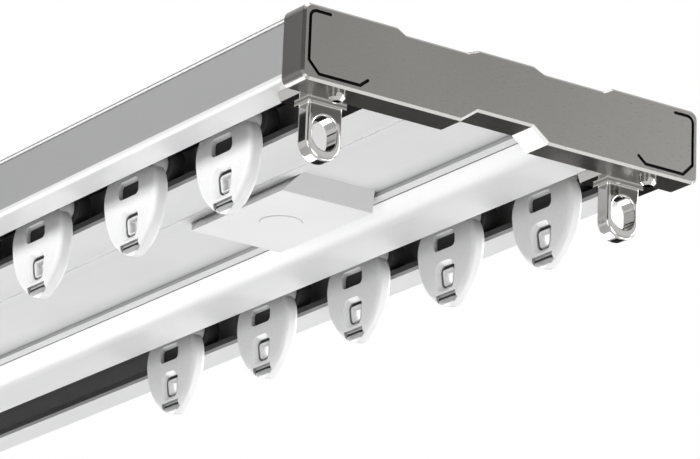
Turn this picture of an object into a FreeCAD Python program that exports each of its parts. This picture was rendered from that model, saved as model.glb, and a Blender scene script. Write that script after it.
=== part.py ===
import FreeCAD, Part
import math
import os

# Double curtain track for the ceiling, millimetres.
# Origin: centre of the top face that lies against the ceiling. +X runs along the track to its
# front end, +Y is the right-hand row of gliders, +Z is up.

# Overall sizes
track_length = 500.0        # over both end caps
track_width = 108.0
rail_height = 15.4

# Rail extrusion
wall = 1.4
lip_thickness = 1.0         # the two edges of each slot
top_chamfer = 2.6
lower_corner = 2.0
slot_width = 13.0
slot_from_side = 15.3       # middle of the slot, from the side of the track
flute_depth = 1.25          # two shallow flutes in the top
flute_from_middle = 7.6
flute_from_slot = 9.4       # outer edge, from the middle of the slot
flute_slope_inner = 3.2
flute_slope_outer = 2.3
web_drop = 11.6             # underside of the middle recess, below the ceiling
recess_half = 11.4
ridge_width = 3.1           # step along each side of the recess
ridge_height = 1.0
ridge_groove = 0.5
slope_run = 4.8             # from the ridge down to the flat underside
slope_round = 9.0

# Fixing to the ceiling
fixing_hole = 4.5
access_hole = 10.0          # in the recess, for the screw head
fixing_from_end = 88.3

# Mute strips on the lips
strip_height = 1.6
strip_round = 0.4
rib_width = 0.9             # rail rib that keeps a strip in place
rib_height = 1.1
rib_from_wall = 1.2

# End caps
cap_depth = 7.8             # along the track
cap_overhang = 2.1          # below the rail
cap_corner = 2.0
cap_bevel = 0.6
cap_wall = 2.2
cap_arch_half = 7.4         # raised middle of the lower edge
cap_arch_rise = 3.15
cap_arch_slope = 4.4
spigot_from = 13.0          # spigots that plug into the rail's middle chamber
spigot_width = 8.0
spigot_reach = 12.0

# Line ornament sunk into the cap's face
line_width = 0.75
line_depth = 0.35
line_inset = 1.65           # from the cap's side and its upper and lower edge
line_corner = 1.6
line_chamfer = 2.7
line_top_length = 5.1
line_bottom_length = 13.4
line_tip = 2.0
line_tip_rise = 1.6

# End stops with an eyelet
stop_block_width = 19.0
stop_headroom = 0.95        # under the channel's roof
stop_slant = 5.5            # rear end, as high as it is long
shoe_width = 17.6
shoe_length = 8.2
shoe_taper = 0.8
eyelet_offset = 2.1         # outwards from the slot's middle
eyelet_setback = 2.2        # from the cap
eyelet_thickness = 4.4
eyelet_width = 9.1
eyelet_drop = 13.1          # below the shoe
eyelet_round = 0.9
eyelet_collar = 0.5
eyelet_collar_height = 0.7
eye_width = 6.3
eye_height = 7.8
eye_top = 3.0               # below the shoe
eye_edge = 0.45
peg_width = 6.4             # peg of the stop that the cap's screw clamps
peg_height = 3.0
peg_raise = 0.5             # above the underside of the stop's block
peg_front_wall = 2.4

# Set screws in the caps
screw_diameter = 3.7
screw_from_face = 3.5
screw_offset = 3.8          # outwards from the slot's middle
screw_proud = 1.9
screw_bevel = 0.65
screw_socket = 1.6          # across flats
screw_socket_depth = 1.6

# Cover plates over the fixings, with a round plug
plate_length_top = 47.2
plate_length = 38.4
plate_half_top = 10.1
plate_half = 12.7
plate_proud = 0.1           # below the rail
plug_diameter = 10.1
plug_edge = 1.3
plug_proud = 0.3
plug_bevel = 0.15
plug_stem = 7.6
plug_stem_length = 2.2

# Gliders
glider_width = 23.0
glider_shoulder = 20.0      # width of the shield inside the slot
glider_drop = 16.0          # below the lips
glider_thickness = 3.9
glider_rake = 4.0           # degrees, foot towards the right-hand side
glider_edge = 1.2
glider_rise = 2.9           # of the shield above the underside of the lips
glider_full_to = 1.6        # widest this far below the lips
glider_tip_radius = 4.8
mast_width = 9.0
mast_taper = 1.4
mast_round = 1.8
mast_root = 0.5             # into the shield
hub_diameter = 5.4
hub_past_slot = 0.3         # of each end, beyond the edge of the slot
window_width = 8.6
window_height = 4.2
window_low = 2.2            # below the lips
window_round = 1.4
window_slant = 1.0          # of its upper side, down towards the middle
hook_top = 6.0              # below the lips
hook_height = 5.4
hook_width_top = 6.2
hook_width_low = 5.0
hook_round = 1.5
hook_edge = 1.0
slit_width = 7.6
slit_height = 0.8
slit_round = 0.3
slit_drop = 13.4            # below the lips
slit_recess = 0.8           # depth of the step at the slit
slit_recess_rise = 0.5      # of the step above the slit
slit_recess_height = 1.1    # of the step under the slit

# Rollers of the gliders
wheel_headroom = 1.25       # under the channel's roof
wheel_width = 3.4
axle_diameter = 2.0
axle_head = 3.2
axle_head_width = 0.6

# Where the gliders stand, from the front cap's face
glider_places = {
    "right": (36.4, 74.0, 112.2, 152.4, 194.9),
    "left": (51.8, 91.0, 132.7, 174.5, 217.0),
}

# Clearances
fit = 0.1                   # pieces that are pushed together
slot_clearance = 0.3        # castings in the slot
running_gap = 0.3           # rollers over the strips
bore_clearance = 0.05       # roller on its axle
tiny = 0.001                # for finding edges by their place

# Levels and places that follow
V = FreeCAD.Vector
half_width = track_width / 2
front_face = track_length / 2
rail_end = front_face - cap_depth
cap_low = -rail_height - cap_overhang
lip_z = -rail_height
lip_top = lip_z + lip_thickness
strip_top = lip_top + strip_height
web_z = -web_drop
floor_z = web_z + wall
ridge_z = web_z - ridge_height
ridge_outer = recess_half + ridge_width
flat_from = ridge_outer + slope_run
slot_centre = half_width - slot_from_side
channel_half = slot_from_side - wall
channel_inner = slot_centre - channel_half
chamber_half = channel_inner - wall
rib_out = channel_half - rib_from_wall
rib_in = rib_out - rib_width
strip_outer = rib_in - fit
flute_outer = slot_centre - flute_from_slot
flute_roof = -flute_depth - wall
block_low = strip_top + fit
block_top = flute_roof - stop_headroom
peg_low = block_low + peg_raise
peg_top = peg_low + peg_height
clamp_y = slot_centre + screw_offset
clamp_x = front_face - screw_from_face
plate_low = lip_z - plate_proud
fixing_x = front_face - fixing_from_end
wheel_low = strip_top + running_gap
wheel_radius = (flute_roof - wheel_headroom - wheel_low) / 2
axle_z = wheel_low + wheel_radius
hub_half = slot_width / 2 + hub_past_slot
wheel_from = hub_half + running_gap
wheel_to = wheel_from + wheel_width


def across(x):
    """Outlines drawn in Y and Z, at one place along the track."""
    return lambda u, v: V(x, u, v)


def along(y):
    """Outlines drawn in X and Z, seen from the side."""
    return lambda u, v: V(u, y, v)


def outline(corners, place, closed=True):
    """Wire through (u, v, radius) corners, each rounded by an arc of its own radius."""
    count = len(corners)
    points = [V(u, v, 0) for u, v, radius in corners]
    starts, middles, finishes = [], [], []
    for index, (u, v, radius) in enumerate(corners):
        corner = points[index]
        before = (points[index - 1] - corner).normalize()
        after = (points[(index + 1) % count] - corner).normalize()
        half_angle = before.getAngle(after) / 2
        reach = radius / math.tan(half_angle) if radius else 0
        inwards = (before + after).normalize() if radius else V()
        starts.append(corner + before * reach)
        middles.append(corner + inwards * (radius / math.sin(half_angle) - radius) if radius else corner)
        finishes.append(corner + after * reach)
    edges = []
    for index in range(count):
        if corners[index][2] > 0:
            through = (starts[index], middles[index], finishes[index])
            edges.append(Part.Arc(*(place(p.x, p.y) for p in through)).toShape())
        start, end = finishes[index], starts[(index + 1) % count]
        last = index == count - 1
        if start.distanceToPoint(end) > tiny and (closed or not last):
            edges.append(Part.LineSegment(place(start.x, start.y), place(end.x, end.y)).toShape())
    return Part.Wire(Part.__sortEdges__(edges))


def both_sides(half):
    """Closed outline from the half of it that lies at positive u."""
    return half + [(-u, v, radius) for u, v, radius in reversed(half)]


def rectangle(u, v, radius=0):
    """Outline between the low and high values of u and v."""
    return [(u[0], v[0], radius), (u[1], v[0], radius), (u[1], v[1], radius), (u[0], v[1], radius)]


def bar(corners, start, end):
    """Solid that runs along the track from start to end with one cross-section."""
    return Part.Face(outline(corners, across(start))).extrude(V(end - start, 0, 0))


def slab(corners, start, end):
    """Solid across the track from start to end with one side outline."""
    return Part.Face(outline(corners, along(start))).extrude(V(0, end - start, 0))


def block(x, y, z):
    """Box between the low and high values of each axis."""
    return Part.makeBox(x[1] - x[0], y[1] - y[0], z[1] - z[0], V(x[0], y[0], z[0]))


def upright(diameter, x, y, z):
    """Cylinder between the low and high values of z."""
    return Part.makeCylinder(diameter / 2, z[1] - z[0], V(x, y, z[0]))


def crosswise(diameter, y, z):
    """Cylinder across the track between the low and high values of y, at level z."""
    return Part.makeCylinder(diameter / 2, y[1] - y[0], V(0, y[0], z), V(0, 1, 0))


def edges_in(shape, x, y, z):
    """Edges of a shape that lie wholly between the low and high values of each axis."""
    room = FreeCAD.BoundBox(x[0], y[0], z[0], x[1], y[1], z[1])
    room.enlarge(tiny)
    return [edge for edge in shape.Edges if room.isInside(edge.BoundBox)]


def face_edges(shape, x, y, z):
    """Edges in the two planes at the low and high values of y, within x and z."""
    return edges_in(shape, x, (y[0], y[0]), z) + edges_in(shape, x, (y[1], y[1]), z)


def to_rear(shape):
    return shape.mirror(V(0, 0, 0), V(1, 0, 0))


def to_left(shape):
    return shape.mirror(V(0, 0, 0), V(0, 1, 0))


def both_rows(shape):
    return [shape, to_left(shape)]


def top_outline():
    """Right half of the top edge that the rail and the caps share."""
    return [
        (flute_from_middle, 0, 0),
        (flute_from_middle + flute_slope_inner, -flute_depth, 0),
        (flute_outer - flute_slope_outer, -flute_depth, 0),
        (flute_outer, 0, 0),
    ]


def channel_outline():
    """Inside of the right-hand channel, with a rib behind each mute strip."""
    rib_top = lip_top + rib_height
    floor = [
        (channel_half, lip_top),
        (rib_out, lip_top),
        (rib_out, rib_top),
        (rib_in, rib_top),
        (rib_in, lip_top),
    ]
    chamfer = top_chamfer - wall * (2 - math.sqrt(2))
    outer_side = [(slot_centre + u, v, 0) for u, v in reversed(floor)]
    inner_side = [(slot_centre - u, v, 0) for u, v in floor]
    roof = [
        (half_width - wall, -wall - chamfer, 0),
        (half_width - wall - chamfer, -wall, 0),
        (flute_outer, -wall, 0),
        (flute_outer - flute_slope_outer, flute_roof, 0),
        (channel_inner, flute_roof, 0),
    ]
    return outer_side + roof + inner_side


def chamber_outline():
    """Closed chamber over the middle recess."""
    return both_sides([
        (chamber_half, flute_roof, 0),
        (chamber_half, lip_z + wall, 0),
        (flat_from + wall / 2, lip_z + wall, 0),
        (ridge_outer + wall / 2, floor_z, 0),
    ])


def make_rail():
    outside = both_sides(top_outline() + [
        (half_width - top_chamfer, 0, 0),
        (half_width, -top_chamfer, 0),
        (half_width, lip_z, lower_corner),
        (flat_from, lip_z, slope_round),
        (ridge_outer, ridge_z, 0),
        (ridge_outer, ridge_z + ridge_groove, 0),
        (ridge_outer - ridge_groove, ridge_z + ridge_groove, 0),
        (ridge_outer - ridge_groove, ridge_z, 0),
        (recess_half, ridge_z, 0),
        (recess_half, web_z, 0),
    ])
    slot_sides = (slot_centre - slot_width / 2, slot_centre + slot_width / 2)
    slot = rectangle(slot_sides, (lip_z - wall, lip_top + fit))
    cuts = [bar(chamber_outline(), -rail_end, rail_end)]
    for profile in (channel_outline(), slot):
        cuts += both_rows(bar(profile, -rail_end, rail_end))
    for x in (fixing_x, -fixing_x):
        cuts.append(upright(fixing_hole, x, 0, (flute_roof - fit, wall)))
        cuts.append(upright(access_hole, x, 0, (web_z - wall, floor_z + fit)))
    return bar(outside, -rail_end, rail_end).cut(cuts)


def make_strip(side):
    """Mute strip on one lip of the right-hand channel; side is +1 on the outer lip."""
    low, high = sorted((slot_centre + side * slot_width / 2, slot_centre + side * strip_outer))
    profile = [
        (low, lip_top, 0),
        (high, lip_top, 0),
        (high, strip_top, strip_round),
        (low, strip_top, strip_round),
    ]
    return bar(profile, -rail_end, rail_end)


def ornament_line():
    """Groove of the line ornament at the right-hand end of the front cap."""
    side = half_width - line_inset
    low = cap_low + line_inset
    tip = side - line_bottom_length - line_tip
    path = [
        (side - line_top_length, -line_inset, 0),
        (side, -line_inset, line_corner),
        (side, low + line_chamfer, 0),
        (side - line_chamfer, low, 0),
        (side - line_bottom_length, low, 0),
        (tip, low + line_tip_rise, 0),
    ]
    stroke = outline(path, across(front_face - line_depth), closed=False).makeOffset2D(line_width / 2)
    return Part.Face(stroke).extrude(V(2 * line_depth, 0, 0))


def make_cap():
    """Front end cap: a casting with pockets behind its face and two spigots for the rail."""
    edge = both_sides(top_outline() + [
        (half_width, 0, cap_corner),
        (half_width, cap_low, cap_corner),
        (cap_arch_half + cap_arch_slope, cap_low, 0),
        (cap_arch_half, cap_low + cap_arch_rise, 0),
    ])
    cap = bar(edge, rail_end, front_face)
    face_edge = edges_in(cap, (front_face, front_face), (-half_width, half_width), (cap_low, 0))
    cap = cap.makeChamfer(cap_bevel, face_edge)
    pocket_roof = flute_roof - cap_wall
    boss_half = peg_width / 2 + cap_wall
    depth = (rail_end - fit, front_face - cap_wall)
    level = (lip_z + cap_wall, pocket_roof)
    inner_pocket = block(depth, (chamber_half, clamp_y - boss_half), level)
    outer_pocket = block(depth, (clamp_y + boss_half, half_width - cap_wall), level)
    middle_pocket = block(depth, (-recess_half, recess_half), (web_z, pocket_roof))
    peg_socket = block(
        (rail_end - fit, front_face - peg_front_wall + fit),
        (clamp_y - peg_width / 2 - fit, clamp_y + peg_width / 2 + fit),
        (peg_low - fit, peg_top + fit),
    )
    screw_bore = upright(screw_diameter + 2 * bore_clearance, clamp_x, clamp_y, (cap_low - fit, peg_low))
    spigot = block(
        (rail_end - spigot_reach, front_face - cap_wall),
        (spigot_from, spigot_from + spigot_width),
        (floor_z + fit, flute_roof - fit),
    )
    cuts = [middle_pocket]
    for piece in (inner_pocket, outer_pocket, peg_socket, screw_bore, ornament_line()):
        cuts += both_rows(piece)
    return cap.fuse(both_rows(spigot)).cut(cuts).removeSplitter()


def make_eyelet(middle):
    """Rounded ring under the shoe, with an oval eye along the track."""
    front = rail_end - eyelet_setback
    back = front - eyelet_thickness
    half = eyelet_width / 2
    low = cap_low - eyelet_drop
    plate = bar(
        [
            (middle - half, cap_low + fit, 0),
            (middle - half, low, half - fit),
            (middle + half, low, half - fit),
            (middle + half, cap_low + fit, 0),
        ],
        back,
        front,
    )
    rims = edges_in(plate, (front, front), (middle - half, middle + half), (low, cap_low + fit))
    rims += edges_in(plate, (back, back), (middle - half, middle + half), (low, cap_low + fit))
    plate = plate.makeFillet(eyelet_round, [edge for edge in rims if edge.BoundBox.ZMin < cap_low])
    eye_y = (middle - eye_width / 2, middle + eye_width / 2)
    eye_z = (cap_low - eye_top - eye_height, cap_low - eye_top)
    ring = plate.cut(bar(rectangle(eye_y, eye_z, eye_width / 2 - fit), back - fit, front + fit))
    eye_rims = edges_in(ring, (front, front), eye_y, eye_z) + edges_in(ring, (back, back), eye_y, eye_z)
    ring = ring.makeFillet(eye_edge, eye_rims)
    collar = block(
        (back - eyelet_collar, front + eyelet_collar),
        (middle - half - eyelet_collar, middle + half + eyelet_collar),
        (cap_low - eyelet_collar_height, cap_low + fit),
    )
    return [ring, collar]


def make_end_stop():
    """End stop at the front of the right-hand channel: block, shoe, eyelet and the cap's peg."""
    rear = rail_end - shoe_length
    low = lip_z - fit
    block_half = stop_block_width / 2
    neck_half = slot_width / 2 - slot_clearance
    side_view = slab(
        [
            (rail_end, low, 0),
            (rear, low, 0),
            (rear - stop_slant, low + stop_slant, 0),
            (rear - stop_slant, block_top, 0),
            (rail_end, block_top, 0),
        ],
        slot_centre - block_half,
        slot_centre + block_half,
    )
    end_view = bar(
        both_sides([
            (block_half, block_top, 0),
            (block_half, block_low, 0),
            (neck_half, block_low, 0),
            (neck_half, low, 0),
        ]),
        rear - stop_slant,
        rail_end,
    )
    end_view.translate(V(0, slot_centre, 0))
    middle = slot_centre + eyelet_offset
    shoe_half = shoe_width / 2
    shoe = bar(
        [
            (middle - shoe_half, lip_z - fit / 2, 0),
            (middle + shoe_half, lip_z - fit / 2, 0),
            (middle + shoe_half - shoe_taper, cap_low, 0),
            (middle - shoe_half + shoe_taper, cap_low, 0),
        ],
        rear,
        rail_end,
    )
    peg = block(
        (rail_end - fit, front_face - peg_front_wall),
        (clamp_y - peg_width / 2, clamp_y + peg_width / 2),
        (peg_low, peg_top),
    )
    return side_view.common(end_view).fuse([shoe, peg] + make_eyelet(middle)).removeSplitter()


def make_set_screw():
    """Grub screw in the front cap, with a hexagon socket at its lower end."""
    low = cap_low - screw_proud
    screw = upright(screw_diameter, clamp_x, clamp_y, (low, peg_low - fit / 2))
    reach = screw_diameter / 2
    x, y = (clamp_x - reach, clamp_x + reach), (clamp_y - reach, clamp_y + reach)
    screw = screw.makeChamfer(screw_bevel, edges_in(screw, x, y, (low, low)))
    corner = V(screw_socket / math.sqrt(3), 0, 0)
    hexagon = []
    for step in range(7):
        turned = FreeCAD.Rotation(V(0, 0, 1), step * 60).multVec(corner)
        hexagon.append(V(clamp_x, clamp_y, low) + turned)
    socket = Part.Face(Part.makePolygon(hexagon)).extrude(V(0, 0, screw_socket_depth))
    return screw.cut(socket)


def make_cover_plate():
    """Plate in the middle recess at the front fixing, bored for the screw and its plug."""
    levels = ((web_z, plate_length_top / 2, plate_half_top), (plate_low, plate_length / 2, plate_half))
    wires = []
    for z, half_length, half in levels:
        corners = ((-1, -1), (1, -1), (1, 1), (-1, 1), (-1, -1))
        wires.append(Part.makePolygon([V(fixing_x + i * half_length, j * half, z) for i, j in corners]))
    recess = upright(plug_diameter + 2 * fit, fixing_x, 0, (plate_low - fit, plate_low + plug_edge))
    bore = upright(plug_stem + 2 * fit, fixing_x, 0, (plate_low, web_z + fit))
    return Part.makeLoft(wires, True, True).cut([recess, bore])


def make_plug():
    """Round plug that closes the cover plate's bore."""
    low = plate_low - plug_proud
    disc = upright(plug_diameter, fixing_x, 0, (low, plate_low + plug_edge))
    reach = plug_diameter / 2
    rim = edges_in(disc, (fixing_x - reach, fixing_x + reach), (-reach, reach), (low, low))
    disc = disc.makeChamfer(plug_bevel, rim)
    return disc.fuse(upright(plug_stem, fixing_x, 0, (plate_low, plate_low + plug_edge + plug_stem_length)))


def arc_middle(centre, start, end, radius):
    """Point of an arc halfway between its two ends."""
    towards = (start - centre).normalize() + (end - centre).normalize()
    return centre + towards.normalize() * radius


def shield_outline():
    """Front view of a glider's shield: tangent arcs for the shoulders, the bow and the round tip."""
    half = glider_width / 2
    top = lip_z + glider_rise
    full = lip_z - glider_full_to
    low = lip_z - glider_drop
    broad = V(half, 0, full)
    shoulder = V(glider_shoulder / 2, 0, top)
    inset = half - shoulder.x
    shoulder_radius = (inset ** 2 + (top - full) ** 2) / (2 * inset)
    shoulder_middle = arc_middle(V(half - shoulder_radius, 0, full), shoulder, broad, shoulder_radius)
    tip_centre = V(0, 0, low + glider_tip_radius)
    height = full - tip_centre.z
    bow_radius = (half ** 2 + height ** 2 - glider_tip_radius ** 2) / (2 * (half - glider_tip_radius))
    bow_centre = V(half - bow_radius, 0, full)
    foot = bow_centre + (tip_centre - bow_centre).normalize() * bow_radius
    bow_middle = arc_middle(bow_centre, broad, foot, bow_radius)
    right = [shoulder, shoulder_middle, broad, bow_middle, foot]
    left = [V(-p.x, 0, p.z) for p in right]
    return Part.Wire([
        Part.LineSegment(left[0], right[0]).toShape(),
        Part.Arc(*right[0:3]).toShape(),
        Part.Arc(*right[2:5]).toShape(),
        Part.Arc(right[4], V(0, 0, low), left[4]).toShape(),
        Part.Arc(left[4], left[3], left[2]).toShape(),
        Part.Arc(left[2], left[1], left[0]).toShape(),
    ])


def make_shield():
    """Shield of a glider with its window, hook hole and stepped slit."""
    half = glider_thickness / 2
    top = lip_z + glider_rise
    low = lip_z - glider_drop
    faces = (-half, half)
    shield = Part.Face(shield_outline()).extrude(V(0, glider_thickness, 0))
    shield.translate(V(0, -half, 0))
    rims = face_edges(shield, (-glider_width / 2, glider_width / 2), faces, (low, top))
    shield = shield.makeFillet(glider_edge, [edge for edge in rims if edge.BoundBox.ZMin < top - tiny])
    through = (-glider_thickness, glider_thickness)
    hook_x = (-hook_width_top / 2, hook_width_top / 2)
    hook_z = (lip_z - hook_top - hook_height, lip_z - hook_top)
    hook = both_sides([(hook_x[1], hook_z[1], hook_round), (hook_width_low / 2, hook_z[0], hook_round)])
    shield = shield.cut(slab(hook, *through))
    shield = shield.makeChamfer(hook_edge, face_edges(shield, hook_x, faces, hook_z))
    window_x = (-window_width / 2, window_width / 2)
    window_z = (lip_z - window_low, lip_z - window_low + window_height)
    window_roof = bar(
        [
            (through[0], window_z[0], 0),
            (through[1], window_z[0], 0),
            (through[1], window_z[1] + window_slant, 0),
            (0, window_z[1] - window_slant, 0),
            (through[0], window_z[1] + window_slant, 0),
        ],
        *window_x,
    )
    window = slab(rectangle(window_x, window_z, window_round), *through).common(window_roof)
    slit_x = (-slit_width / 2, slit_width / 2)
    slit_z = (lip_z - slit_drop - slit_height, lip_z - slit_drop)
    slit = slab(rectangle(slit_x, slit_z, slit_round), *through)
    step_z = (slit_z[0] - slit_recess_height, slit_z[1] + slit_recess_rise)
    step = block(slit_x, (-glider_thickness, slit_recess - half), step_z)
    shield = shield.cut([window, slit] + both_rows(step))
    shield.rotate(V(0, 0, lip_z), V(1, 0, 0), glider_rake)
    return shield


def make_glider_body():
    """Moulded glider: shield below the lips, mast and hub in the channel."""
    half = glider_thickness / 2
    foot = lip_z + glider_rise - mast_root
    mast_half = mast_width / 2
    mast_top = axle_z + hub_diameter / 2
    mast = slab(
        both_sides([(mast_half, foot, 0), (mast_half - mast_taper, mast_top, mast_round)]),
        -half,
        half,
    )
    hub = crosswise(hub_diameter, (-hub_half, hub_half), axle_z)
    bore = crosswise(axle_diameter + bore_clearance, (-wheel_to, wheel_to), axle_z)
    return make_shield().fuse([mast, hub]).cut(bore).removeSplitter()


def make_axle():
    """Pin through the glider's hub, with a head outside each roller."""
    half = wheel_to + running_gap
    pin = crosswise(axle_diameter, (-half, half), axle_z)
    return pin.fuse(both_rows(crosswise(axle_head, (half, half + axle_head_width), axle_z)))


def make_wheels():
    """The two rollers of a glider, one each side of its hub."""
    width = (wheel_from, wheel_to)
    bore = crosswise(axle_diameter + 2 * bore_clearance, width, axle_z)
    return Part.makeCompound(both_rows(crosswise(2 * wheel_radius, width, axle_z).cut(bore)))


def front_and_rear(name, shape):
    """The front piece and its mirror image at the rear."""
    return {name + "_front": shape, name + "_rear": to_rear(shape)}


def build():
    nodes = {"rail": make_rail()}
    for lip, side in (("outer", 1), ("inner", -1)):
        strip = make_strip(side)
        nodes["mute_strip_right_" + lip] = strip
        nodes["mute_strip_left_" + lip] = to_left(strip)
    stop = make_end_stop()
    screws = Part.makeCompound(both_rows(make_set_screw()))
    nodes.update(front_and_rear("end_cap", make_cap()))
    nodes.update(front_and_rear("end_stop_right", stop))
    nodes.update(front_and_rear("end_stop_left", to_left(stop)))
    nodes.update(front_and_rear("set_screws", screws))
    nodes.update(front_and_rear("cover_plate", make_cover_plate()))
    nodes.update(front_and_rear("plug", make_plug()))
    pieces = {"body": make_glider_body(), "axle": make_axle(), "wheels": make_wheels()}
    for row, side in (("right", 1), ("left", -1)):
        for number, place in enumerate(glider_places[row], 1):
            for piece, shape in pieces.items():
                copy = shape.copy()
                copy.translate(V(front_face - place, side * slot_centre, 0))
                nodes["glider_{}_{}_{}".format(row, number, piece)] = copy
    return nodes


os.makedirs("parts", exist_ok=True)
for name, shape in build().items():
    shape.exportStep("parts/" + name + ".step")
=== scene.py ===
import math

import bmesh
import bpy
from mathutils import Matrix, Vector


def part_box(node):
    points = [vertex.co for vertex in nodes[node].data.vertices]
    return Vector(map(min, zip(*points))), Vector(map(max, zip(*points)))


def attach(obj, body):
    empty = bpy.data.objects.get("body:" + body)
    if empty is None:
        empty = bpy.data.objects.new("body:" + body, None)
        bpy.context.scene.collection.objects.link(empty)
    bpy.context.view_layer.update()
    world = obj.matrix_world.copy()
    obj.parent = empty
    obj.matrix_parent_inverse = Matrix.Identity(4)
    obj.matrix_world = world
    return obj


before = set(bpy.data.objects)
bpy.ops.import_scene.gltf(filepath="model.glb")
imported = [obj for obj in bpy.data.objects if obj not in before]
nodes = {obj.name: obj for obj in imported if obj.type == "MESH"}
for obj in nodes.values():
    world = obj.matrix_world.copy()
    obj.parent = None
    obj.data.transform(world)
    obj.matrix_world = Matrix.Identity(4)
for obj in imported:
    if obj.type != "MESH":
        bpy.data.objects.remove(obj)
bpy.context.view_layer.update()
scene = bpy.context.scene
scene.view_settings.view_transform = "Standard"

# Places where a colour changes, in metres: X and Y from the middle of the part, Z from the ceiling
MM = 0.001
FAR = 1.0
CHANNEL_INNER, CHANNEL_OUTER, CHANNEL_FLOOR = 24.9 * MM, 52.5 * MM, -14.45 * MM
SIDE_Y, SIDE_LOW, SIDE_HIGH, SIDE_LINE = 53.0 * MM, -14.4 * MM, -2.7 * MM, 0.4 * MM
TOP_EDGE_Y, TOP_EDGE_LOW = 50.5 * MM, -0.3 * MM
WEB_FADE, WEB_EDGE, WEB_LOW, WEB_HIGH = 4.7 * MM, 11.4 * MM, -11.7 * MM, -11.5 * MM
GROOVE_INNER, GROOVE_OUTER = 13.95 * MM, 14.55 * MM
GROOVE_LOW, GROOVE_HIGH = -12.55 * MM, -12.05 * MM
ORNAMENT_INNER, ORNAMENT_OUTER = 36.5 * MM, 53.0 * MM
ORNAMENT_LOW, ORNAMENT_HIGH = -16.6 * MM, -0.9 * MM
ORNAMENT_FLOOR, BEVEL_FLOOR, CAP_FACE = 249.4 * MM, 249.44 * MM, 249.96 * MM
COLLAR_BACK, COLLAR_FRONT = 230 * MM, 241 * MM
COLLAR_LOW, COLLAR_HIGH = -18.25 * MM, -17.8 * MM
PLATE_INNER, PLATE_OUTER = 142.45 * MM, 180.95 * MM

# Sizes of a glider; tops, drops and lows are below the rail's lips
LIP_Z = -15.4 * MM
GLIDERS_IN_ROW = 5
GLIDER_RAKE = math.radians(4.0)
GLIDER_HALF, GLIDER_EDGE = 1.95 * MM, 1.2 * MM
TIP_MIDDLE, TIP_RADIUS = -26.6 * MM, 4.8 * MM
HOOK_HALF_TOP, HOOK_HALF_LOW = 3.1 * MM, 2.5 * MM
HOOK_TOP, HOOK_HEIGHT, HOOK_ROUND = 6.0 * MM, 5.4 * MM, 1.5 * MM
WINDOW_HALF, WINDOW_LOW, WINDOW_HEIGHT, WINDOW_ROUND = 4.3 * MM, 2.2 * MM, 4.2 * MM, 1.4 * MM
SLIT_HALF, SLIT_DROP, SLIT_HEIGHT, SLIT_ROUND = 3.8 * MM, 13.4 * MM, 0.8 * MM, 0.3 * MM

# Pieces added to a glider
SEAT = 0.05 * MM
BUSH_GAP, BUSH_SHIFT, BUSH_REACH, BUSH_DEPTH = 0.4 * MM, 0.25 * MM, 0.45 * MM, 1.15 * MM
SLAB_RIM = 0.3 * MM
CORE_DEPTH, CORE_DISH, CORE_SHORT = 0.75 * MM, 0.15 * MM, 0.4 * MM
SLIT_CORE_DEPTH, SLIT_CORE_DISH = 1.1 * MM, 0.1 * MM
TONGUE_GAP, TONGUE_HEIGHT, TONGUE_THICKNESS = 0.1 * MM, 1.3 * MM, 0.2 * MM
TONGUE_TAPER, TONGUE_CURVE = 0.75, 0.35
TONGUE_SWELL, TONGUE_SINK, PILLOW_POWER = 0.12 * MM, 0.3, 6
SPLIT_ANGLE = math.radians(40)

# Noise: the middle of its range, the detail of the grain, and the slow change of colour
NOISE_LOW, NOISE_HIGH = 0.3, 0.7
GRAIN_DETAIL, CLOUD_SCALE, CLOUD_DETAIL = 3.0, 25.0, 2.0
RECESS_SAMPLES, RECESS_CLOSED, RECESS_OPEN = 8, 0.2, 0.9


def new_material(name):
    material = bpy.data.materials.new(name)
    material.use_nodes = True
    return material


def principled(material):
    return material.node_tree.nodes["Principled BSDF"]


def stretched_noise(tree, scale, stretch, detail):
    """Noise in object space, drawn out along the axes with the smaller stretch values."""
    place = tree.nodes.new("ShaderNodeTexCoord")
    mapping = tree.nodes.new("ShaderNodeMapping")
    mapping.inputs["Scale"].default_value = stretch
    noise = tree.nodes.new("ShaderNodeTexNoise")
    noise.inputs["Scale"].default_value = scale
    noise.inputs["Detail"].default_value = detail
    tree.links.new(place.outputs["Object"], mapping.inputs["Vector"])
    tree.links.new(mapping.outputs["Vector"], noise.inputs["Vector"])
    return noise.outputs["Fac"]


def map_range(tree, value, start, end, low=0.0, high=1.0):
    """Maps the range from start to end to the range from low to high, and holds the ends."""
    node = tree.nodes.new("ShaderNodeMapRange")
    node.inputs["From Min"].default_value = start
    node.inputs["From Max"].default_value = end
    node.inputs["To Min"].default_value = low
    node.inputs["To Max"].default_value = high
    tree.links.new(value, node.inputs["Value"])
    return node.outputs["Result"]


def shade(tree, noise, low, high):
    """Mixes two colours by the middle of a noise."""
    node = tree.nodes.new("ShaderNodeValToRGB")
    first, second = node.color_ramp.elements
    first.position, second.position = NOISE_LOW, NOISE_HIGH
    first.color, second.color = (*low, 1), (*high, 1)
    tree.links.new(noise, node.inputs["Fac"])
    return node.outputs["Color"]


def bump(tree, height, strength, distance):
    node = tree.nodes.new("ShaderNodeBump")
    node.inputs["Strength"].default_value = strength
    node.inputs["Distance"].default_value = distance
    tree.links.new(height, node.inputs["Height"])
    return node.outputs["Normal"]


def math_node(tree, operation, first, second):
    """One Math node; each input is a number or another node's output."""
    node = tree.nodes.new("ShaderNodeMath")
    node.operation = operation
    for socket, value in zip(node.inputs, (first, second)):
        if isinstance(value, float):
            socket.default_value = value
        else:
            tree.links.new(value, socket)
    return node.outputs[0]


def position(tree):
    """Coordinates on the piece, which are those of the whole part at rest."""
    place = tree.nodes.new("ShaderNodeTexCoord")
    parts = tree.nodes.new("ShaderNodeSeparateXYZ")
    tree.links.new(place.outputs["Object"], parts.inputs[0])
    return parts.outputs


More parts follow.
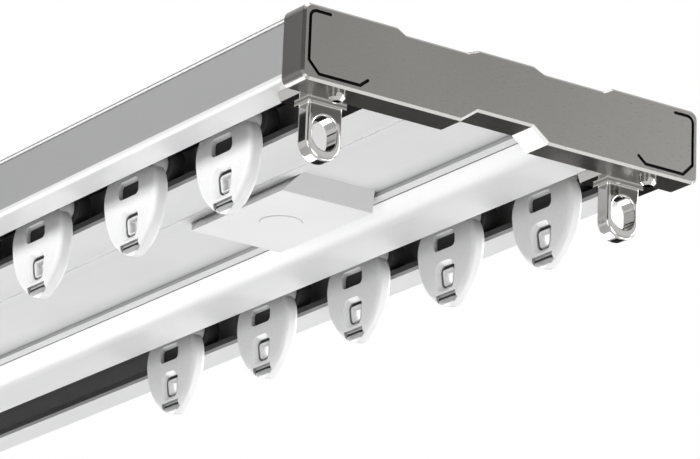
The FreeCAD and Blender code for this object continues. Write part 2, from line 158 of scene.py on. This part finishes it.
def inside(material, limits):
    """1 where each coordinate lies between its limits, else 0. The signs of X and Y don't count."""
    tree = material.node_tree
    parts = position(tree)
    result = None
    for axis, (low, high) in limits.items():
        value = parts[axis]
        if axis != "Z":
            value = math_node(tree, "ABSOLUTE", value, 0.0)
        above = math_node(tree, "GREATER_THAN", value, low)
        below = math_node(tree, "LESS_THAN", value, high)
        both = math_node(tree, "MULTIPLY", above, below)
        result = both if result is None else math_node(tree, "MULTIPLY", result, both)
    return result


def cover(material, factor, colour, blend="MIX"):
    """Blends a colour, or another node's output, over the base colour."""
    tree, base = material.node_tree, principled(material).inputs["Base Color"]
    mix = tree.nodes.new("ShaderNodeMix")
    mix.data_type, mix.blend_type = "RGBA", blend
    if isinstance(factor, float):
        mix.inputs["Factor"].default_value = factor
    else:
        tree.links.new(factor, mix.inputs["Factor"])
    tree.links.new(base.links[0].from_socket, mix.inputs["A"])
    if isinstance(colour, tuple):
        mix.inputs["B"].default_value = (*colour, 1)
    else:
        tree.links.new(colour, mix.inputs["B"])
    tree.links.new(mix.outputs["Result"], base)


def paint_recess_shade(material, reach, darkest):
    """Paints shade into the base colour, by ambient occlusion, in recesses that are narrower than
    the reach.
    """
    tree = material.node_tree
    recess = tree.nodes.new("ShaderNodeAmbientOcclusion")
    recess.samples = RECESS_SAMPLES
    recess.inputs["Distance"].default_value = reach
    tone = map_range(tree, recess.outputs["AO"], RECESS_CLOSED, RECESS_OPEN, darkest)
    cover(material, 1.0, tone, "MULTIPLY")


def finish_of(
    name, low, high, rough,
    metallic=0.0, scale=900, stretch=(1, 1, 1), relief=0.1, depth=0.02 * MM,
):
    """Material with a colour, a roughness and a relief that vary with noise."""
    material = new_material(name)
    tree, shader = material.node_tree, principled(material)
    grain = stretched_noise(tree, scale, stretch, GRAIN_DETAIL)
    cloud = stretched_noise(tree, CLOUD_SCALE, (1, 1, 1), CLOUD_DETAIL)
    roughness = map_range(tree, grain, NOISE_LOW, NOISE_HIGH, *rough)
    shader.inputs["Metallic"].default_value = metallic
    tree.links.new(shade(tree, cloud, low, high), shader.inputs["Base Color"])
    tree.links.new(roughness, shader.inputs["Roughness"])
    tree.links.new(bump(tree, grain, relief, depth), shader.inputs["Normal"])
    return material


def rail_finish():
    """White paint with dark channels and a thin darker line along the top of each side; painted
    shade makes the sides grey, the top edge dark and the recess darker towards its ridge and in its
    corners, and painted light makes the left groove pale.
    """
    paint = finish_of(
        "rail_paint", (0.70, 0.70, 0.705), (0.73, 0.73, 0.735), (0.36, 0.44),
        scale=700, stretch=(0.03, 1, 1), relief=0.05,
    )
    tree = paint.node_tree
    # Painted shade: the side walls are grey, though the paint is the same white
    side = inside(paint, {"Y": (SIDE_Y, FAR), "Z": (SIDE_LOW, SIDE_HIGH)})
    cover(paint, side, (0.33, 0.33, 0.335))
    channel = inside(paint, {"Y": (CHANNEL_INNER, CHANNEL_OUTER), "Z": (CHANNEL_FLOOR, 0.0)})
    cover(paint, channel, (0.008, 0.008, 0.008))
    side_line = inside(paint, {"Y": (SIDE_Y, FAR), "Z": (SIDE_HIGH - SIDE_LINE, SIDE_HIGH)})
    cover(paint, side_line, (0.16, 0.16, 0.16))
    # Painted shade: a dark line along the top edge
    top_edge_shade = inside(paint, {"Y": (TOP_EDGE_Y, FAR), "Z": (TOP_EDGE_LOW, FAR)})
    cover(paint, top_edge_shade, (0.15, 0.15, 0.15))
    # Painted shade: the recess grows darker towards its right-hand edge, by the ridge
    web = inside(paint, {"Z": (WEB_LOW, WEB_HIGH)})
    ridge_shade = map_range(tree, position(tree)["Y"], WEB_FADE, WEB_EDGE)
    ridge_shade = math_node(tree, "POWER", ridge_shade, 2.0)
    cover(paint, math_node(tree, "MULTIPLY", web, ridge_shade), (0.48, 0.48, 0.485))
    # Painted shade in the recesses, by ambient occlusion
    paint_recess_shade(paint, 8 * MM, 0.5)
    # Painted light: the groove of the left-hand ridge is painted pale, so that its shade hardly
    # shows
    groove = inside(paint, {"Y": (GROOVE_INNER, GROOVE_OUTER), "Z": (GROOVE_LOW, GROOVE_HIGH)})
    left = math_node(tree, "LESS_THAN", position(tree)["Y"], 0.0)
    cover(paint, math_node(tree, "MULTIPLY", groove, left), (0.95, 0.95, 0.955))
    return paint


def cap_finish():
    """Satin nickel with a painted highlight, a lighter bevel round the face, and a black line
    ornament.
    """
    satin = finish_of(
        "satin_nickel", (0.188, 0.182, 0.173), (0.204, 0.198, 0.189), (0.27, 0.31), 1.0,
        scale=8000, stretch=(1, 0.06, 1), relief=0.001, depth=0.01 * MM,
    )
    # Painted highlight: the bevel round the face is lighter
    bevel = inside(satin, {"X": (BEVEL_FLOOR, CAP_FACE)})
    cover(satin, bevel, (0.30, 0.295, 0.285))
    ornament = inside(satin, {
        "X": (ORNAMENT_FLOOR, CAP_FACE),
        "Y": (ORNAMENT_INNER, ORNAMENT_OUTER),
        "Z": (ORNAMENT_LOW, ORNAMENT_HIGH),
    })
    cover(satin, ornament, (0.006, 0.006, 0.006))
    return satin


def stop_finish():
    """Polished nickel with a painted highlight: a bright collar over each eyelet."""
    polished = finish_of(
        "polished_nickel", (0.47, 0.46, 0.445), (0.50, 0.49, 0.475), (0.08, 0.12), 1.0,
        relief=0.01, depth=0.01 * MM,
    )
    # Painted highlight on the collar over each eyelet
    collar = inside(polished, {"X": (COLLAR_BACK, COLLAR_FRONT), "Z": (COLLAR_LOW, COLLAR_HIGH)})
    cover(polished, collar, (0.90, 0.89, 0.87))
    return polished


def plate_finish():
    """White plastic, with painted shade that makes the slanted ends of the cover plates greyer."""
    plastic = finish_of(
        "plate_plastic", (0.78, 0.78, 0.78), (0.81, 0.81, 0.81), (0.5, 0.6),
        scale=1500, relief=0.15,
    )
    underside = inside(plastic, {"X": (PLATE_INNER, PLATE_OUTER)})
    # Painted shade: the slanted ends are greyer
    ends = math_node(plastic.node_tree, "SUBTRACT", 1.0, underside)
    cover(plastic, ends, (0.60, 0.60, 0.60))
    return plastic


def glider_finish():
    plastic = finish_of(
        "glider_plastic", (0.86, 0.86, 0.86), (0.89, 0.89, 0.89), (0.26, 0.33),
        scale=3000, relief=0.01,
    )
    # Painted shade in the glider's recesses, by ambient occlusion
    paint_recess_shade(plastic, 3 * MM, 0.35)
    return plastic


polished_nickel = stop_finish()
plate_plastic = plate_finish()
glider_plastic = glider_finish()
# Painted shade: the tongue under each slit is grey
tongue_painted_shade = finish_of(
    "painted_shade_plastic", (0.36, 0.36, 0.36), (0.42, 0.42, 0.42), (0.35, 0.45),
    scale=500, relief=0.04,
)
# Painted shade: near-black pieces round the bush and in the window and the slit, where there is
# only shade
core_painted_shade = finish_of(
    "core_painted_shade", (0.010, 0.010, 0.010), (0.016, 0.016, 0.016), (0.5, 0.6),
)
strip_pile = finish_of(
    "strip_pile", (0.070, 0.070, 0.071), (0.095, 0.095, 0.096), (0.75, 0.9),
    scale=2500, relief=0.6, depth=0.1 * MM,
)
pin_steel = finish_of(
    "pin_steel", (0.05, 0.05, 0.052), (0.07, 0.07, 0.072), (0.35, 0.45), 1.0,
    scale=2000, relief=0.05,
)
roller_plastic = finish_of(
    "roller_plastic", (0.060, 0.060, 0.061), (0.080, 0.080, 0.081), (0.5, 0.6),
    relief=0.05,
)

# Looks by the start of a node's name, or by the end of a glider node's name
looks = {
    "rail": rail_finish(),
    "mute_strip": strip_pile,
    "end_cap": cap_finish(),
    "end_stop": polished_nickel,
    "set_screws": polished_nickel,
    "cover_plate": plate_plastic,
    "plug": plate_plastic,
    "body": glider_plastic,
    "axle": pin_steel,
    "wheels": roller_plastic,
}
for name, piece in nodes.items():
    if name.startswith("glider"):
        kind = name.split("_")[-1]
    else:
        kind = next(start for start in looks if name.startswith(start))
    for place in piece.material_slots:
        place.material = looks[kind]


def rounded(corners, radius, steps=6):
    """Points and inward directions along a closed, counter-clockwise outline with round corners."""
    points = []
    count = len(corners)
    for index, corner in enumerate(corners):
        before = (corners[index - 1] - corner).normalized()
        after = (corners[(index + 1) % count] - corner).normalized()
        half_angle = before.angle(after) / 2
        centre = corner + (before + after).normalized() * (radius / math.sin(half_angle))
        start = corner + before * (radius / math.tan(half_angle)) - centre
        turn = math.pi - 2 * half_angle
        for step in range(steps + 1):
            angle = turn * step / steps
            spoke = Vector((
                start.x * math.cos(angle) - start.y * math.sin(angle),
                start.x * math.sin(angle) + start.y * math.cos(angle),
            ))
            points.append((centre + spoke, -spoke.normalized()))
    return points


def hook_outline(inset):
    """Corners of the hook hole's throat, moved inwards."""
    top = LIP_Z - HOOK_TOP - inset
    low = LIP_Z - HOOK_TOP - HOOK_HEIGHT + inset
    return [
        Vector((-HOOK_HALF_LOW + inset, low)),
        Vector((HOOK_HALF_LOW - inset, low)),
        Vector((HOOK_HALF_TOP - inset, top)),
        Vector((-HOOK_HALF_TOP + inset, top)),
    ]


def box_outline(half, low, high):
    return [Vector((-half, low)), Vector((half, low)), Vector((half, high)), Vector((-half, high))]


def ellipse(reach, depth, count=16):
    """Section of a bush: an ellipse from its outer side inwards."""
    turns = [2 * math.pi * step / count for step in range(count)]
    return [(reach * (1 - math.cos(turn)), depth * math.sin(turn)) for turn in turns]


def add_ring(mesh, outline, section):
    """Ring along an outline; its section is a list of (distance inwards, depth) points."""
    rows = []
    for point, inwards in outline:
        row = []
        for distance, depth in section:
            spot = point + inwards * distance
            row.append(mesh.verts.new((spot.x, depth, spot.y)))
        rows.append(row)
    for index, row in enumerate(rows):
        following = rows[(index + 1) % len(rows)]
        for step in range(len(section)):
            after = (step + 1) % len(section)
            mesh.faces.new((row[step], following[step], following[after], row[after]))


def add_slab(mesh, outline, depth, dish):
    """Slab of an outline, from one depth to its opposite, dished on both faces inside a rim."""
    half = [(dish - depth, 2 * SLAB_RIM), (-depth, SLAB_RIM), (-depth, 0)]
    other_half = [(-level, distance) for level, distance in reversed(half)]
    rings = []
    for level, distance in half + other_half:
        ring = []
        for point, inwards in outline:
            spot = point + inwards * distance
            ring.append(mesh.verts.new((spot.x, level, spot.y)))
        rings.append(ring)
    for ring, following in zip(rings, rings[1:]):
        for index in range(len(ring)):
            after = (index + 1) % len(ring)
            mesh.faces.new((ring[index], ring[after], following[after], following[index]))
    mesh.faces.new(rings[0])
    mesh.faces.new(list(reversed(rings[-1])))


def bush_mesh():
    """Light ring in the hook hole, set a little to the right and down."""
    mesh = bmesh.new()
    outline = rounded(hook_outline(BUSH_GAP), HOOK_ROUND - BUSH_GAP)
    add_ring(mesh, outline, ellipse(BUSH_REACH, BUSH_DEPTH))
    bmesh.ops.translate(mesh, verts=mesh.verts, vec=(BUSH_SHIFT, 0, -BUSH_SHIFT))
    return mesh


def core_mesh():
    """Near-black piece of painted shade, which shows round the bush, in the window and in the slit.
    """
    mesh = bmesh.new()
    inner = 2 * BUSH_GAP
    section = [(-SEAT, -BUSH_GAP), (inner, -BUSH_GAP), (inner, BUSH_GAP), (-SEAT, BUSH_GAP)]
    add_ring(mesh, rounded(hook_outline(0), HOOK_ROUND), section)
    low = LIP_Z - WINDOW_LOW
    window = box_outline(WINDOW_HALF + SEAT, low - SEAT, low + WINDOW_HEIGHT - CORE_SHORT)
    add_slab(mesh, rounded(window, WINDOW_ROUND), CORE_DEPTH, CORE_DISH)
    top = LIP_Z - SLIT_DROP
    slit = box_outline(SLIT_HALF + SEAT, top - SLIT_HEIGHT - SEAT, top + SEAT)
    add_slab(mesh, rounded(slit, SLIT_ROUND), SLIT_CORE_DEPTH, SLIT_CORE_DISH)
    return mesh


def tongue_mesh(columns=15, rows=7):
    """Pillowed lip under the slit, which follows the rounded tip of the glider; its grey is painted
    shade.
    """
    mesh = bmesh.new()
    top = LIP_Z - SLIT_DROP - SLIT_HEIGHT - TONGUE_GAP
    grid = []
    for row in range(rows):
        down = row / (rows - 1)
        line = []
        for column in range(columns):
            across = 2 * column / (columns - 1) - 1
            x = across * SLIT_HALF * (1 - (1 - TONGUE_TAPER) * down)
            z = top - TONGUE_HEIGHT * down * (1 - TONGUE_CURVE * across ** 2)
            over = max(0.0, math.hypot(x, z - TIP_MIDDLE) - (TIP_RADIUS - GLIDER_EDGE))
            back = GLIDER_EDGE - math.sqrt(max(0.0, GLIDER_EDGE ** 2 - over ** 2))
            pillow = (1 - across ** PILLOW_POWER) * (1 - (2 * down - 1) ** PILLOW_POWER)
            rise = TONGUE_SWELL * (pillow - TONGUE_SINK)
            line.append(mesh.verts.new((x, back - GLIDER_HALF - rise, z)))
        grid.append(line)
    for upper, lower in zip(grid, grid[1:]):
        for column in range(columns - 1):
            after = column + 1
            mesh.faces.new((upper[column], upper[after], lower[after], lower[column]))
    return mesh


def glider_piece(name, mesh, glider, material):
    """Moves a mesh from the middle of the track to its glider, rakes it and lets it ride there."""
    bmesh.ops.recalc_face_normals(mesh, faces=mesh.faces)
    for face in mesh.faces:
        face.smooth = True
    low, high = (Vector(corner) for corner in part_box(glider + "_axle"))
    middle = (low + high) / 2
    pivot = Vector((0, 0, LIP_Z))
    rake = Matrix.Rotation(GLIDER_RAKE, 4, "X")
    raked = Matrix.Translation(pivot) @ rake @ Matrix.Translation(-pivot)
    mesh.transform(Matrix.Translation((middle.x, middle.y, 0)) @ raked)
    data = bpy.data.meshes.new(name)
    mesh.to_mesh(data)
    mesh.free()
    data.materials.append(material)
    piece = bpy.data.objects.new(name, data)
    scene.collection.objects.link(piece)
    piece.modifiers.new("edge", "EDGE_SPLIT").split_angle = SPLIT_ANGLE
    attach(piece, glider)
    return piece


for row in ("right", "left"):
    for number in range(1, GLIDERS_IN_ROW + 1):
        glider = f"glider_{row}_{number}"
        glider_piece(glider + "_bush", bush_mesh(), glider, glider_plastic)
        glider_piece(glider + "_core", core_mesh(), glider, core_painted_shade)
        tongue = glider_piece(glider + "_tongue", tongue_mesh(), glider, tongue_painted_shade)
        tongue.modifiers.new("thickness", "SOLIDIFY").thickness = TONGUE_THICKNESS


# Lamps: direction from the middle of the view, side in metres, watts
CENTRE = Vector((0.12, 0, -0.012))
LAMP_DISTANCE = 1.2
LAMPS = {
    "left": ((0.05, -1.0, 0.21), 0.3, 9.5),
    "left_low": ((0.20, -0.95, -0.25), 0.6, 2.0),
    "right": ((0.0, 0.88, -0.47), 0.6, 4.4),
    "edge": ((0.32, 0.53, -0.78), 0.5, 1.7),
    "front_below": ((0.80, -0.20, -0.55), 0.6, 4.8),
    "face": ((0.44, 0.88, 0.18), 0.6, 13.0),
    "rear_below": ((-0.80, 0.0, -0.60), 0.6, 9.0),
    "top": ((0.0, -0.10, 1.0), 0.8, 12.0),
}
NOT_MIRRORED = "left"

# Dark cards, which only the metal mirrors: direction and side
CARD_DISTANCE = 1.8
CARDS = {
    "card_left": ((-0.78, -0.53, 0.32), 0.45),
    "card_below": ((-0.78, 0.53, -0.32), 1.1),
    "card_front": ((0.50, -0.75, 0.32), 0.9),
}

WORLD_LIGHT = 0.06
FLOOR_SIZE, FLOOR_Z, FLOOR_GLOW = 12, -1.6, 0.6
MATT = 0.9

# The camera that was fitted to the photo
CAMERA_PLACE = Vector((0.99372, -0.54302, -0.34965))
CAMERA_AIM = Vector((0.15423, 0.02457, -0.01))
CAMERA_ROLL = math.radians(2.1211)
CAMERA_LENS, CAMERA_SENSOR = 229.61, 36.0
CAMERA_NEAR, CAMERA_FAR = 0.05, 50.0


def seen_rays(tree):
    """1 for rays from the camera and for those that metal and glass send on, else 0."""
    path = tree.nodes.new("ShaderNodeLightPath")
    seen = path.outputs["Is Camera Ray"]
    for ray in ("Is Glossy Ray", "Is Transmission Ray"):
        seen = math_node(tree, "MAXIMUM", seen, path.outputs[ray])
    return seen


def mixed(tree, factor, first, second):
    """Mix of two shaders: the first where the factor is 0, the second where it is 1."""
    mix = tree.nodes.new("ShaderNodeMixShader")
    tree.links.new(factor, mix.inputs["Fac"])
    tree.links.new(first, mix.inputs[1])
    tree.links.new(second, mix.inputs[2])
    return mix.outputs[0]


def background(tree, strength):
    node = tree.nodes.new("ShaderNodeBackground")
    node.inputs["Color"].default_value = (1, 1, 1, 1)
    node.inputs["Strength"].default_value = strength
    return node.outputs[0]


def matt_material(name, tone):
    material = new_material(name)
    principled(material).inputs["Base Color"].default_value = (tone, tone, tone, 1)
    principled(material).inputs["Roughness"].default_value = MATT
    return material


for name, (towards, side, watts) in LAMPS.items():
    data = bpy.data.lights.new(name, "AREA")
    data.shape = "SQUARE"
    data.size = side
    data.energy = watts
    lamp = bpy.data.objects.new(name, data)
    lamp.location = CENTRE + Vector(towards).normalized() * LAMP_DISTANCE
    lamp.rotation_mode = "QUATERNION"
    lamp.rotation_quaternion = (-Vector(towards)).to_track_quat("-Z", "Y")
    lamp.visible_glossy = name != NOT_MIRRORED
    scene.collection.objects.link(lamp)

# The world is white where it is seen, and dim as a light
scene.world = bpy.data.worlds.new("studio")
scene.world.use_nodes = True
tree = scene.world.node_tree
tree.nodes.clear()
output = tree.nodes.new("ShaderNodeOutputWorld")
surface = mixed(tree, seen_rays(tree), background(tree, WORLD_LIGHT), background(tree, 1.0))
tree.links.new(surface, output.inputs["Surface"])

# The floor is pale from above, and clear from below, where the photo looks from
bpy.ops.mesh.primitive_plane_add(size=FLOOR_SIZE, location=(0, 0, FLOOR_Z))
floor = bpy.context.object
floor.name = "floor"
floor_material = matt_material("floor_pale", 0.85)
tree = floor_material.node_tree
glow = tree.nodes.new("ShaderNodeEmission")
tree.links.new(math_node(tree, "MULTIPLY", seen_rays(tree), FLOOR_GLOW), glow.inputs["Strength"])
pale = tree.nodes.new("ShaderNodeAddShader")
tree.links.new(principled(floor_material).outputs[0], pale.inputs[0])
tree.links.new(glow.outputs[0], pale.inputs[1])
clear = tree.nodes.new("ShaderNodeBsdfTransparent")
facing = tree.nodes.new("ShaderNodeNewGeometry")
surface = mixed(tree, facing.outputs["Backfacing"], pale.outputs[0], clear.outputs[0])
tree.links.new(surface, tree.nodes["Material Output"].inputs["Surface"])
floor.data.materials.append(floor_material)

card_material = matt_material("card_black", 0.02)
for name, (towards, side) in CARDS.items():
    place = CENTRE + Vector(towards).normalized() * CARD_DISTANCE
    bpy.ops.mesh.primitive_plane_add(size=side, location=place)
    card = bpy.context.object
    card.name = name
    card.rotation_mode = "QUATERNION"
    card.rotation_quaternion = (CENTRE - place).to_track_quat("Z", "Y")
    card.data.materials.append(card_material)
    card.visible_camera = card.visible_diffuse = card.visible_shadow = False

camera_data = bpy.data.cameras.new("camera")
camera_data.sensor_width = CAMERA_SENSOR
camera_data.lens = CAMERA_LENS
camera_data.clip_start, camera_data.clip_end = CAMERA_NEAR, CAMERA_FAR
camera = bpy.data.objects.new("camera", camera_data)
camera.location = CAMERA_PLACE
camera.rotation_mode = "QUATERNION"
aimed = (CAMERA_AIM - CAMERA_PLACE).to_track_quat("-Z", "Y")
camera.rotation_quaternion = aimed @ Matrix.Rotation(CAMERA_ROLL, 3, "Z").to_quaternion()
scene.collection.objects.link(camera)
scene.camera = camera
